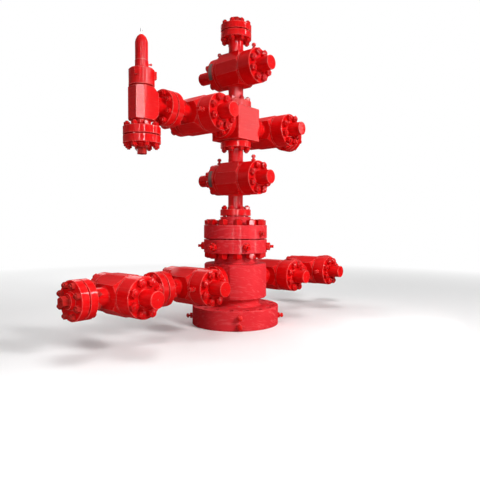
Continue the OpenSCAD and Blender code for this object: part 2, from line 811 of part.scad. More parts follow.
// The tube that houses the choke's stem, closed by a pointed dome, with a joint line half way up
module choke_bonnet() {
    flange_h = hammer_nut_h * 0.25;
    foot = choke_top + choke_thread_h;
    nut_top = choke_top + hammer_nut_gap + hammer_nut_h;
    shoulder = nut_top + choke_tube_h;
    joint_z = nut_top + choke_tube_h * 0.32;
    joint = bonnet_joint;
    foot_r = choke_tube_r + choke_tube_step;
    color(paint) difference() {
        translate([choke_x, 0, cross_z]) rotate_extrude()
            polygon([
                [0, foot], [choke_thread_r, foot], [choke_thread_r, foot + flange_h],
                [foot_r, foot + flange_h], [foot_r, joint_z],
                [choke_tube_r - joint, joint_z], [choke_tube_r - joint, joint_z + joint],
                [choke_tube_r, joint_z + joint], [choke_tube_r, shoulder],
                [choke_tube_r * 0.92, shoulder + choke_cone_h * 0.3],
                [choke_tube_r * 0.7, shoulder + choke_cone_h * 0.7],
                [choke_tip_r, shoulder + choke_cone_h], [0, shoulder + choke_cone_h]
            ]);
        translate([choke_x, 0, cross_z + shoulder + choke_cone_h - rod_in])
            cylinder(r = rod_r + clearance, h = rod_in + cut);
        at_choke_fitting() fitting_hole(choke_fitting_scale);
    }
}

module choke_indicator_rod() {
    foot = choke_top + hammer_nut_gap + hammer_nut_h + choke_tube_h + choke_cone_h - rod_in;
    top = rod_in + rod_out;
    neck = rod_head_r - rod_r;
    color(steel) translate([choke_x, 0, cross_z + foot]) rotate_extrude()
        polygon([
            [0, 0], [rod_r, 0], [rod_r, top - rod_head_l - neck], [rod_head_r, top - rod_head_l],
            [rod_head_r, top - neck], [rod_r, top], [0, top]
        ]);
}

// Puts what is modelled on a flange face at z = 0 on one of the closed ends
module at_end(end) {
    translate(end[1]) rotate(end[2]) children();
}

// A companion flange with its face at z = 0 and a tapered boss for the plug
module companion_flange() {
    difference() {
        union() {
            small_flange();
            translate([0, 0, flange_t - cut]) cylinder(r = boss_foot_r, h = cut);
            translate([0, 0, flange_t]) cylinder(r1 = boss_foot_r, r2 = boss_face_r, h = boss_h);
        }
        small_flange_holes();
        translate([0, 0, -cut]) cylinder(r = flow_r * 0.8, h = flange_t + boss_h);
        translate([0, 0, flange_t + boss_h - plug_shank_l])
            cylinder(r = plug_shank_r + clearance, h = plug_shank_l + cut);
    }
}

// A plug whose shank is screwed into a boss, with a collar that rests on the boss's face
module hex_plug() {
    translate([0, 0, flange_t + boss_h]) difference() {
        union() {
            translate([0, 0, -plug_shank_l]) cylinder(r = plug_shank_r, h = plug_shank_l + cut);
            cylinder(r = plug_collar_r, h = plug_collar_t);
            hex_prism(plug_flats, plug_hex_l);
        }
        translate([0, 0, plug_hex_l * 0.6]) cylinder(r = plug_hole_r, h = plug_hex_l);
    }
}

tubing_head();
tie_down_screws();
test_ports();
tubing_head_adapter();
cross_block();
choke_body();
choke_hammer_nut();
choke_bonnet();
choke_indicator_rod();
grease_fittings();
for (v = VALVES) {
    color(paint) at_valve(v) valve_body();
    color(paint) at_valve(v) front_bonnet(v[3]);
    color(paint) at_valve(v) rear_bonnet(v[3]);
}
for (e = CLOSED_ENDS) {
    color(paint) at_end(e) companion_flange();
    color(primer) at_end(e) hex_plug();
}
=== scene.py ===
"""Looks of the oil wellhead valve stack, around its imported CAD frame.

The frame gives every forging, bonnet, flange and plug. This script paints them and adds what the
source leaves out: the studs and nuts of every joint, the bare nameplates with their rivets and the
vent fittings at the tail caps. It also makes the studio: a pale floor, soft lamps and the camera
at the photograph's viewing angle. Lengths are in metres, in the frame of the CAD.
"""

from __future__ import annotations

import json
import logging
import math
from dataclasses import dataclass, field
from enum import Enum
from typing import Mapping, Sequence, Union

import bmesh
import bpy
from mathutils import Euler, Matrix, Vector

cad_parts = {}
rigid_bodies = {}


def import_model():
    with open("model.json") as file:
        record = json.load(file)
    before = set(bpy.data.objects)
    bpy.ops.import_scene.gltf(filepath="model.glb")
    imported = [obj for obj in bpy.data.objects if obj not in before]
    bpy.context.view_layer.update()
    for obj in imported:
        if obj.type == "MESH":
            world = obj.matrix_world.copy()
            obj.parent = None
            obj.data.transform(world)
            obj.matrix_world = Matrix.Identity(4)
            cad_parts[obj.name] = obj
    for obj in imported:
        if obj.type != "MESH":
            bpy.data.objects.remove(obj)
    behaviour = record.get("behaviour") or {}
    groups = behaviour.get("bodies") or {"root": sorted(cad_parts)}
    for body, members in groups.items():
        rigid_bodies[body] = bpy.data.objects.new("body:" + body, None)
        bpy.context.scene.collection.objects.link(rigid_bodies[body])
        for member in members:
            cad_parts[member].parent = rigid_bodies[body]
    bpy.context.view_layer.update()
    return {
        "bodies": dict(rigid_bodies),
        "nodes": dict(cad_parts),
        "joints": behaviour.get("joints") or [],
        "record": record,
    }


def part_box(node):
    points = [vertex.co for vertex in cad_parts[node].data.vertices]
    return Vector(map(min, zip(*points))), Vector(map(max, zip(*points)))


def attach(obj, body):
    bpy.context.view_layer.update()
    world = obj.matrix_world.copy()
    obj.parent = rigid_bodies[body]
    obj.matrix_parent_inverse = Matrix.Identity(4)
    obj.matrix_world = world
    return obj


LOG = logging.getLogger("wellhead")
BODY = "root"
MM = 0.001

Colour = tuple[float, float, float]
Point = tuple[float, float, float]
Range = tuple[float, float]
Pair = tuple[float, float]

ZERO: Point = (0.0, 0.0, 0.0)
PLAIN: Point = (1.0, 1.0, 1.0)
WHITE = (1.0, 1.0, 1.0, 1.0)
BACK = Vector((0.0, 1.0, 0.0))


# Node trees


class Term:
    """A number socket that takes part in Python arithmetic by adding Math nodes."""

    def __init__(self, canvas: Canvas, socket: bpy.types.NodeSocket) -> None:
        """Wraps a socket.

        Args:
            canvas: the node tree's builder.
            socket: the output socket that carries the number.
        """
        self.canvas = canvas
        self.socket = socket

    def _join(self, operation: str, first: Operand, second: Operand) -> Term:
        """Adds one Math node.

        Args:
            operation: the Math node's operation.
            first: its first operand.
            second: its second operand.

        Returns:
            The node's result.
        """
        node = self.canvas.add("ShaderNodeMath", {"operation": operation}, {0: first, 1: second})
        return Term(self.canvas, node.outputs[0])

    def __add__(self, other: Operand) -> Term:
        """Sum."""
        return self._join("ADD", self, other)

    def __radd__(self, other: Operand) -> Term:
        """Sum with the number first."""
        return self._join("ADD", other, self)

    def __rsub__(self, other: Operand) -> Term:
        """Difference with the number first."""
        return self._join("SUBTRACT", other, self)

    def __mul__(self, other: Operand) -> Term:
        """Product."""
        return self._join("MULTIPLY", self, other)

    def __rmul__(self, other: Operand) -> Term:
        """Product with the number first."""
        return self._join("MULTIPLY", other, self)

    def larger(self, other: Operand) -> Term:
        """The larger of this and another number."""
        return self._join("MAXIMUM", self, other)

    def between(self, low: float, high: float) -> Term:
        """This number mapped from low..high to 0..1 and held there."""
        values = {"Value": self, "From Min": low, "From Max": high}
        node = self.canvas.add("ShaderNodeMapRange", {"clamp": True}, values)
        return Term(self.canvas, node.outputs[0])


Operand = Union[float, Term, bpy.types.NodeSocket]


class Canvas:
    """Adds nodes to one shader or geometry tree."""

    def __init__(self, tree: bpy.types.NodeTree) -> None:
        """Wraps a tree.

        Args:
            tree: the shader or geometry tree to build in.
        """
        self.tree = tree

    def add(
        self,
        kind: str,
        settings: Mapping[str, object] | None = None,
        values: Mapping[Union[str, int], object] | None = None,
    ) -> bpy.types.Node:
        """Adds one node.

        Args:
            kind: the node's type.
            settings: its properties, such as a Math node's operation, set first.
            values: numbers, colours, sockets or terms for its inputs, by name or index.

        Returns:
            The new node.
        """
        node = self.tree.nodes.new(kind)
        for name, value in (settings or {}).items():
            setattr(node, name, value)
        for key, value in (values or {}).items():
            self._feed(node.inputs[key], value)
        return node

    def _feed(self, socket: bpy.types.NodeSocket, value: object) -> None:
        """Links or sets one input.

        Args:
            socket: the input.
            value: a term or socket to link, or a plain value.
        """
        if isinstance(value, Term):
            value = value.socket
        if isinstance(value, bpy.types.NodeSocket):
            self.tree.links.new(value, socket)
        else:
            socket.default_value = value

    def blend(self, under: object, over: object, share: Operand) -> bpy.types.NodeSocket:
        """Mixes two colours, through the colour sockets of a Mix node.

        Args:
            under: the colour at share 0.
            over: the colour at share 1.
            share: the share of over.

        Returns:
            The mixed colour's socket.
        """
        values = {0: share, 6: self._rgba(under), 7: self._rgba(over)}
        node = self.add("ShaderNodeMix", {"data_type": "RGBA"}, values)
        return node.outputs[2]

    @staticmethod
    def _rgba(colour: object) -> object:
        """A plain colour with its alpha, or the socket as it is."""
        return (*colour, 1.0) if isinstance(colour, tuple) else colour

    def noise(
        self,
        place: bpy.types.NodeSocket,
        cells: float,
        detail: float = 3.0,
        roughness: float = 0.55,
        warp: float = 0.0,
    ) -> Term:
        """Adds a noise texture.

        Args:
            place: the coordinates.
            cells: features per metre.
            detail: octaves.
            roughness: how much the octaves count.
            warp: distortion.

        Returns:
            The noise, mostly between 0.3 and 0.7.
        """
        values = {
            "Vector": place,
            "Scale": cells,
            "Detail": detail,
            "Roughness": roughness,
            "Distortion": warp,
        }
        return Term(self, self.add("ShaderNodeTexNoise", None, values).outputs[0])

    def place(self, stretch: Point = PLAIN, turn: Point = ZERO) -> bpy.types.NodeSocket:
        """Object coordinates.

        Args:
            stretch: scale along each axis, after the turn.
            turn: angles about the axes, in degrees.

        Returns:
            The coordinates' socket.
        """
        source = self.add("ShaderNodeTexCoord").outputs["Object"]
        if any(turn):
            values = {"Vector": source, "Rotation": tuple(math.radians(angle) for angle in turn)}
            source = self.add("ShaderNodeMapping", None, values).outputs[0]
        if stretch != PLAIN:
            values = {"Vector": source, "Scale": stretch}
            source = self.add("ShaderNodeMapping", None, values).outputs[0]
        return source

    def bump(
        self, height: Operand, normal: bpy.types.NodeSocket | None = None
    ) -> bpy.types.NodeSocket:
        """Raises the surface by a height in metres.

        Args:
            height: the height.
            normal: the normal to start from, or none for the surface's own.

        Returns:
            The bumped normal.
        """
        values = {"Strength": 1.0, "Distance": 1.0, "Height": height}
        if normal is not None:
            values["Normal"] = normal
        return self.add("ShaderNodeBump", None, values).outputs[0]


# Finishes


@dataclass(frozen=True)
class Coating:
    """Base of the finishes: a material whose shader each kind of finish makes."""

    name: str

    def build(self) -> bpy.types.Material:
        """Makes the material.

        Returns:
            The finished material.
        """
        material = bpy.data.materials.new(self.name)
        material.use_nodes = True
        material.node_tree.nodes.clear()
        canvas = Canvas(material.node_tree)
        canvas.add("ShaderNodeOutputMaterial", None, {"Surface": self.shader(canvas)})
        return material

    def shader(self, canvas: Canvas) -> bpy.types.NodeSocket:
        """Adds the shader's nodes.

        Args:
            canvas: the material's tree.

        Returns:
            The shader's socket.
        """
        raise NotImplementedError


@dataclass(frozen=True)
class Enamel(Coating):
    """Brushed and sprayed enamel over forged or machined steel.

    The skin's unevenness, the fine ripple of the paint, thinner and thicker coats, a pale
    painted highlight on edges and painted shade in corners and holes all follow the surface.
    """

    colour: Colour
    deep: Colour
    pale_and_highlight: Colour
    # painted shade: the dark colour laid into corners, joints and holes by the ambient occlusion
    # mask
    painted_shade: Colour = (0.11, 0.012, 0.010)
    gloss: Range = (0.18, 0.32)
    specular: float = 0.0
    coat: float = 0.17
    coat_roughness: float = 0.06
    coat_ior: float = 1.45
    patch_cells: float = 3.1
    patch_range: Range = (0.36, 0.66)
    patch_share: float = 0.35
    skin_cells: float = 42.0
    skin_height: float = 0.07 * MM
    mottle_range: Range = (0.35, 0.65)
    mottle_share: float = 0.10
    mottle_haze: float = 0.01
    ripple_cells: float = 260.0
    ripple_height: float = 0.018 * MM
    streaks: float = 0.06
    streak_range: Range = (0.52, 0.72)
    streak_stretch: Point = (7.0, 7.0, 95.0)
    streak_turn: Point = ZERO
    streak_height: float = 0.4 * MM
    streak_matt: float = 0.35
    edge_radius: float = 3.6 * MM
    edge_range: Range = (0.004, 0.07)
    # strength of the pale painted highlight along edges, in place of the gloss of rounded edges
    edge_highlight: float = 0.7
    highlight_least: float = 0.35
    # how strongly the painted corner shade darkens the colour
    shade_strength: float = 0.18
    shade_least: float = 0.45
    shade_reach: float = 15 * MM
    corner_range: Range = (0.32, 0.95)
    corner_matt: float = 0.22
    corner_dulling: float = 0.7

    def shader(self, canvas: Canvas) -> bpy.types.NodeSocket:
        """Adds the layers of paint, the painted edge highlight and the painted corner shade.

        Args:
            canvas: the material's tree.

        Returns:
            The shader's socket.
        """
        place = canvas.place()
        marks = canvas.place(self.streak_stretch, self.streak_turn)
        patches = canvas.noise(place, self.patch_cells, detail=3.0, roughness=0.6, warp=0.4)
        patches = patches.between(*self.patch_range)
        skin = canvas.noise(place, self.skin_cells, detail=4.0, roughness=0.6, warp=0.3)
        mottle = skin.between(*self.mottle_range)
        ripple = canvas.noise(place, self.ripple_cells, detail=2.0)
        brushed = canvas.noise(marks, 1.0, detail=4.0, roughness=0.65, warp=1.1)
        streak = brushed.between(*self.streak_range) * self.streaks
        rounded, edge = self._edges(canvas)
        corner = self._corners(canvas)

        thin = patches * self.patch_share + (1.0 - mottle) * self.mottle_share
        # painted highlight: the pale colour laid along edges
        highlighted_share = edge * (1.0 - corner) * self._uneven(mottle, self.highlight_least) * self.edge_highlight
        # painted shade: darkens the colour where ambient occlusion finds corners and holes
        shaded_share = corner * self._uneven(mottle, self.shade_least) * self.shade_strength
        colour = canvas.blend(self.colour, self.deep, thin)
        colour = canvas.blend(colour, self.pale_and_highlight, streak + mottle * self.mottle_haze)
        # edges lightened towards the pale colour as a painted highlight
        colour = canvas.blend(colour, self.pale_and_highlight, highlighted_share)
        # the colour is darkened towards the painted shade colour in corners and holes
        colour = canvas.blend(colour, self.painted_shade, shaded_share)

        low, high = self.gloss
        roughness = low + (high - low) * mottle
        roughness = roughness + corner * self.corner_matt + streak * self.streak_matt
        coat = (1.0 - corner * self.corner_dulling) * (1.0 - streak) * self.coat
        height = skin * self.skin_height + ripple * self.ripple_height
        height = height + brushed * (self.streaks * self.streak_height)
        values = {
            "Base Color": colour,
            "Roughness": roughness,
            "Specular IOR Level": self.specular,
            "Coat Weight": coat,
            "Coat Roughness": self.coat_roughness,
            "Coat IOR": self.coat_ior,
            "Normal": canvas.bump(height, rounded),
        }
        return canvas.add("ShaderNodeBsdfPrincipled", None, values).outputs[0]

    @staticmethod
    def _uneven(mottle: Term, least: float) -> Term:
        """A share that the mottle varies from its least to 1."""
        return least + (1.0 - least) * mottle

    def _edges(self, canvas: Canvas) -> tuple[bpy.types.NodeSocket, Term]:
        """Rounds the edges and finds them; the mask places the painted edge highlight.

        Args:
            canvas: the material's tree.

        Returns:
            The rounded normal, and a mask that is 1 on edges.
        """
        bevel = canvas.add("ShaderNodeBevel", {"samples": 5}, {"Radius": self.edge_radius})
        plain = canvas.add("ShaderNodeNewGeometry").outputs["Normal"]
        both = {0: bevel.outputs[0], 1: plain}
        across = canvas.add("ShaderNodeVectorMath", {"operation": "DOT_PRODUCT"}, both)
        bent = 1.0 - Term(canvas, across.outputs["Value"])
        return bevel.outputs[0], bent.between(*self.edge_range)

    def _corners(self, canvas: Canvas) -> Term:
        """Finds corners, joints and holes by ambient occlusion, where shade is painted.

        Args:
            canvas: the material's tree.

        Returns:
            A mask that is 1 deep in them.
        """
        # ambient occlusion finds where shade falls; the colour is darkened there as painted shade
        reach = {"Distance": self.shade_reach}
        shade = canvas.add("ShaderNodeAmbientOcclusion", {"samples": 6}, reach)
        return (1.0 - Term(canvas, shade.outputs["AO"])).between(*self.corner_range)


@dataclass(frozen=True)
class DrawnSteel(Coating):
    """Bright drawn steel with fine lines along the bar."""

    colour: Colour = (0.30, 0.30, 0.31)
    tarnish: Colour = (0.18, 0.17, 0.16)
    line_stretch: Point = (900.0, 900.0, 22.0)
    line_height: float = 0.03 * MM
    line_matt: float = 0.22
    spot_cells: float = 160.0
    spot_range: Range = (0.55, 0.7)
    spot_share: float = 0.6
    spot_matt: float = 0.2
    roughness: float = 0.18

    def shader(self, canvas: Canvas) -> bpy.types.NodeSocket:
        """Adds the drawn lines and the tarnish.

        Args:
            canvas: the material's tree.

        Returns:
            The shader's socket.
        """
        lines = canvas.noise(canvas.place(self.line_stretch), 1.0, roughness=0.7)
        spots = canvas.noise(canvas.place(), self.spot_cells).between(*self.spot_range)
        colour = canvas.blend(self.colour, self.tarnish, spots * self.spot_share)
        values = {
            "Base Color": colour,
            "Metallic": 1.0,
            "Roughness": self.roughness + lines * self.line_matt + spots * self.spot_matt,
            "Normal": canvas.bump(lines * self.line_height),
        }
        return canvas.add("ShaderNodeBsdfPrincipled", None, values).outputs[0]


@dataclass(frozen=True)
class PlateMetal(Coating):
    """Dull stamped plate with a haze of overspray."""

    metal: Colour = (0.125, 0.064, 0.054)
    haze: Colour = (0.26, 0.030, 0.026)
    spray_cells: float = 55.0
    spray_range: Range = (0.50, 0.74)
    spray_share: float = 0.7
    spray_dulling: float = 0.6
    spray_matt: float = 0.15
    grain_stretch: Point = (80.0, 900.0, 80.0)
    grain_height: float = 0.04 * MM
    grain_matt: float = 0.18
    metallic: float = 0.75
    roughness: float = 0.34
    edge_radius: float = 0.4 * MM

    def shader(self, canvas: Canvas) -> bpy.types.NodeSocket:
        """Adds the stamped grain and the overspray.

        Args:
            canvas: the material's tree.

        Returns:
            The shader's socket.
        """
        spray = canvas.noise(canvas.place(), self.spray_cells, detail=5.0, roughness=0.7, warp=0.5)
        spray = spray.between(*self.spray_range)
        grain = canvas.noise(canvas.place(self.grain_stretch), 1.0, roughness=0.6)
        rounded = canvas.add("ShaderNodeBevel", {"samples": 4}, {"Radius": self.edge_radius})
        values = {
            "Base Color": canvas.blend(self.metal, self.haze, spray * self.spray_share),
            "Metallic": self.metallic - spray * self.spray_dulling,
            "Roughness": self.roughness + grain * self.grain_matt + spray * self.spray_matt,
            "Normal": canvas.bump(grain * self.grain_height, rounded.outputs[0]),
        }
        return canvas.add("ShaderNodeBsdfPrincipled", None, values).outputs[0]


@dataclass(frozen=True)
class StudioFloor(Coating):
    """Pale floor that fades into the white background, for the camera, far from the object.

    To other rays it is a mid grey, so that it throws little light up at the object.
    """

    colour: Colour = (0.84, 0.84, 0.84)
    bounce: Colour = (0.30, 0.28, 0.26)
    fade: Range = (1.9, 5.5)
    roughness: float = 0.85
    specular: float = 0.1

    def shader(self, canvas: Canvas) -> bpy.types.NodeSocket:
        """Adds the floor's tones and its fade.

        Args:
            canvas: the material's tree.

        Returns:
            The shader's socket.
        """
        seen = canvas.add("ShaderNodeLightPath").outputs["Is Camera Ray"]
        tone = canvas.blend(self.bounce, self.colour, seen)
        matt = {
            "Base Color": tone,
            "Roughness": self.roughness,
            "Specular IOR Level": self.specular,
        }
        floor = canvas.add("ShaderNodeBsdfPrincipled", None, matt)
        white = canvas.add("ShaderNodeEmission", None, {"Color": WHITE, "Strength": 1.0})
        reach = canvas.add("ShaderNodeVectorMath", {"operation": "LENGTH"}, {0: canvas.place()})
        far = Term(canvas, reach.outputs["Value"]).between(*self.fade)
        parts = {0: far * seen, 1: floor.outputs[0], 2: white.outputs[0]}
        return canvas.add("ShaderNodeMixShader", None, parts).outputs[0]


class Finish(Enum):
    """The finishes of this valve stack."""

    VALVE_RED = Enamel(
        "valve_red",
        colour=(0.76, 0.0030, 0.0045),
        deep=(0.56, 0.0012, 0.0020),
        # the pale colour tints the brush streaks and is also the painted edge highlight
        pale_and_highlight=(0.95, 0.27, 0.25),
        edge_highlight=0.95,
    )
    HEAD_RED = Enamel(
        "head_red",
        colour=(0.74, 0.030, 0.038),
        deep=(0.60, 0.012, 0.020),
        pale_and_highlight=(0.88, 0.17, 0.18),
        gloss=(0.34, 0.50),
        coat=0.05,
        skin_height=0.18 * MM,
        streaks=0.42,
        streak_stretch=(11.0, 11.0, 60.0),
        streak_turn=(18.0, -22.0, 0.0),
        edge_highlight=0.9,
        # strong painted shade deep in the bolt holes and round the nuts of the head
        shade_strength=0.70,
        shade_reach=60 * MM,
        edge_radius=3.0 * MM,
    )
    BOLT_RED = Enamel(
        "bolt_red",
        colour=(0.68, 0.0030, 0.0045),
        deep=(0.42, 0.0012, 0.0020),
        pale_and_highlight=(0.93, 0.20, 0.18),
        skin_cells=90.0,
        skin_height=0.10 * MM,
        streaks=0.0,
        edge_highlight=0.7,
        shade_strength=0.35,
        edge_radius=1.5 * MM,
    )
    # darker than the bolt paint: painted shade for the left end, which faces away from the lamps,
    # with a brownish aged tint
    AGED_AND_SHADED_RED = Enamel(
        "aged_and_shaded_red",
        colour=(0.46, 0.016, 0.014),
        deep=(0.28, 0.008, 0.007),
        pale_and_highlight=(0.55, 0.11, 0.09),
        gloss=(0.36, 0.58),
        coat=0.1,
        streaks=0.15,
        edge_highlight=0.8,
        shade_strength=0.5,
        edge_radius=1.5 * MM,
    )
    ROD_STEEL = DrawnSteel("rod_steel")
    PLATE = PlateMetal("plate_metal")
    FLOOR = StudioFloor("studio_floor")


class Paintshop:
    """Makes each finish once and gives it to pieces."""

    SLOT_FINISH = {
        "red_paint": Finish.VALVE_RED,
        "head_paint": Finish.HEAD_RED,
        "dark_primer": Finish.AGED_AND_SHADED_RED,
        "bright_steel": Finish.ROD_STEEL,
    }
    NODE_FINISH = {"tubing_head_adapter": Finish.HEAD_RED}

    def __init__(self) -> None:
        """Builds every finish."""
        self.materials = {finish: finish.value.build() for finish in Finish}

    def coat(self, piece: bpy.types.Object, finish: Finish) -> None:
        """Gives a piece one finish all over.

        Args:
            piece: the object.
            finish: its finish.
        """
        material = self.materials[finish]
        if not piece.material_slots:
            piece.data.materials.append(material)
        for slot in piece.material_slots:
            slot.material = material

    def coat_frame(self, frame: Mapping[str, object]) -> None:
        """Paints every CAD node with the finish of its material slot.
        """
        for part in frame["record"]["subparts"]:
            node = part["node"]
            finish = self.NODE_FINISH.get(node, self.SLOT_FINISH[part["material_slot"]])
            self.coat(frame["nodes"][node], finish)
            LOG.info("painted %s with %s", node, finish.name.lower())


# Meshes


def mesh_object(
    name: str, shape: bmesh.types.BMesh, smooth_below: float = 35.0
) -> bpy.types.Object:
    """Turns a bmesh into a linked object with outward faces.

    Args:
        name: the object's name.
        shape: the bmesh, which is freed.
        smooth_below: edges flatter than this many degrees are shaded smooth.

    Returns:
        The object.
    """
    bmesh.ops.recalc_face_normals(shape, faces=shape.faces)
    limit = math.radians(smooth_below)
    for face in shape.faces:
        face.smooth = True
    for edge in shape.edges:
        edge.smooth = len(edge.link_faces) == 2 and edge.calc_face_angle(0.0) < limit
    mesh = bpy.data.meshes.new(name)
    shape.to_mesh(mesh)
    shape.free()
    piece = bpy.data.objects.new(name, mesh)
    bpy.context.scene.collection.objects.link(piece)
    return piece


def join_rings(shape: bmesh.types.BMesh, rings: Sequence[Sequence[bmesh.types.BMVert]]) -> None:
    """Joins rings of corners into a closed skin, with a face over each end.

    Args:
        shape: the bmesh that holds them.
        rings: the rings in order, each with the same number of corners.
    """
    for low, high in zip(rings, rings[1:]):
        for i in range(len(low)):
            j = (i + 1) % len(low)
            shape.faces.new((low[i], low[j], high[j], high[i]))
    shape.faces.new(rings[0])
    shape.faces.new(rings[-1])


def add_turned(shape: bmesh.types.BMesh, profile: Sequence[Pair], sides: int) -> None:
    """Adds a closed turned solid round Z.

    Args:
        shape: the bmesh to add to.
        profile: (radius, height) pairs from one end to the other; the ends are capped.
        sides: number of sides.
    """
    angles = [math.tau * i / sides for i in range(sides)]
    spokes = [(math.cos(angle), math.sin(angle)) for angle in angles]
    rings = []
    for radius, height in profile:
        rings.append([shape.verts.new((radius * x, radius * y, height)) for x, y in spokes])
    join_rings(shape, rings)


# Radii on a nut, as shares of half its flats, and the slope of its chamfer
NUT_FACE = 0.95
NUT_CROWN = 0.94
NUT_CHAMFER = 0.97
NUT_SLOPE = math.radians(30.0)


def add_hex_nut(shape: bmesh.types.BMesh, flats: float, height: float, washer: float) -> None:
    """Adds a heavy hexagon nut with a washer face below and chamfered corners.

    Args:
        shape: the bmesh to add to.
        flats: width across flats.
        height: height of the nut.
        washer: thickness of its washer face.
    """
    step = math.pi / 6
    inner = flats / 2
    corner = inner / math.cos(step)
    face, crown = inner * NUT_FACE, inner * NUT_CROWN
    drop = (corner - inner * NUT_CHAMFER) * math.tan(NUT_SLOPE)
    # Each level gives radius and height, first at the middle of a flat and then at a corner.
    levels = (
        ((face, 0.0), (face, 0.0)),
        ((face, washer), (face, washer)),
        ((inner, washer), (corner, washer + drop * 0.7)),
        ((inner, height - drop * 0.2), (corner, height - drop * 1.2)),
        ((crown, height), (crown, height)),
    )
    rings = []
    for level in levels:
        ring = []
        for i in range(12):
            angle = step * i
            radius, z = level[i % 2]
            ring.append(shape.verts.new((radius * math.cos(angle), radius * math.sin(angle), z)))
        rings.append(ring)
    join_rings(shape, rings)


@dataclass
class StudEnd:
    """A hexagon nut with the stud's threaded end above it, standing on z = 0.

    The end stands proud of the nut, starts sunk in it with a plain length, and is bevelled.
    """

    name: str
    flats: float
    height: float
    stud_r: float
    stand: float
    washer: float = 1.0 * MM
    pitch: float = 3.2 * MM
    plain: float = 1.0 * MM
    sunk: float = 2.0 * MM
    bevel_h: float = 1.5 * MM
    bevel_r: float = 2.5 * MM
    sides: int = 14

    def build(self) -> bpy.types.Object:
        """Makes the source mesh that Geometry Nodes copy.

        Returns:
            The object, which is removed once the copies are made.
        """
        shape = bmesh.new()
        add_hex_nut(shape, self.flats, self.height, self.washer)
        top = self.height + self.stand
        profile = [(self.stud_r, self.height - self.sunk)]
        z = self.height + self.plain
        root = self.stud_r - self.pitch / 2
        while z + self.pitch < top:
            profile += [(self.stud_r, z), (root, z + self.pitch / 2)]
            z += self.pitch
        profile += [(self.stud_r, z), (self.stud_r, top - self.bevel_h)]
        profile += [(self.stud_r - self.bevel_r, top)]
        add_turned(shape, profile, self.sides)
        return mesh_object(self.name, shape, smooth_below=48.0)


# Geometry Nodes


class CopyTree:
    """Base of the trees that put copies on marked places."""

    INPUTS: Sequence[tuple[str, str]] = ()

    def __init__(self, name: str) -> None:
        """Starts the tree and its interface.

        Args:
            name: the tree's name.
        """
        self.tree = bpy.data.node_groups.new(name, "GeometryNodeTree")
        self.canvas = Canvas(self.tree)
        face = self.tree.interface
        face.new_socket("Places", in_out="INPUT", socket_type="NodeSocketGeometry")
        for label, kind in self.INPUTS:
            face.new_socket(label, in_out="INPUT", socket_type=kind)
        face.new_socket("Pieces", in_out="OUTPUT", socket_type="NodeSocketGeometry")
        self.given = self.canvas.add("NodeGroupInput").outputs
        self.wire()

    def wire(self) -> None:
        """Adds the nodes between input and output."""
        raise NotImplementedError

    def source(self, label: str) -> bpy.types.NodeSocket:
        """Reads the geometry of an object input.

        Args:
            label: the input's name.

        Returns:
            The geometry, in the object's own frame.
        """
        inputs = {"Object": self.given[label]}
        node = self.canvas.add("GeometryNodeObjectInfo", {"transform_space": "ORIGINAL"}, inputs)
        return node.outputs["Geometry"]

    def copies(
        self, points: bpy.types.NodeSocket, instance: bpy.types.NodeSocket, turn: object
    ) -> bpy.types.NodeSocket:
        """Puts a copy on each point.

        Args:
            points: where the copies go.
            instance: what is copied.
            turn: each copy's rotation, as a socket or as plain angles.

        Returns:
            The copies.
        """
        inputs = {"Points": points, "Instance": instance, "Rotation": turn}
        return self.canvas.add("GeometryNodeInstanceOnPoints", None, inputs).outputs[0]

    def marked_turn(self) -> bpy.types.NodeSocket:
        """Reads the turn that each place carries.

        Returns:
            The rotation.
        """
        read = self.canvas.add(
            "GeometryNodeInputNamedAttribute", {"data_type": "FLOAT_VECTOR"}, {"Name": "turn"}
        )
        turn = self.canvas.add("FunctionNodeEulerToRotation", None, {0: read.outputs[0]})
        return turn.outputs[0]

    def close(self, pieces: bpy.types.NodeSocket) -> None:
        """Makes the copies real, gives them their finish and ends the tree.

        Args:
            pieces: the copies.
        """
        real = self.canvas.add("GeometryNodeRealizeInstances", None, {0: pieces})
        inputs = {"Geometry": real.outputs[0], "Material": self.given["Finish"]}
        painted = self.canvas.add("GeometryNodeSetMaterial", None, inputs)
        self.canvas.add("NodeGroupOutput", None, {0: painted.outputs[0]})


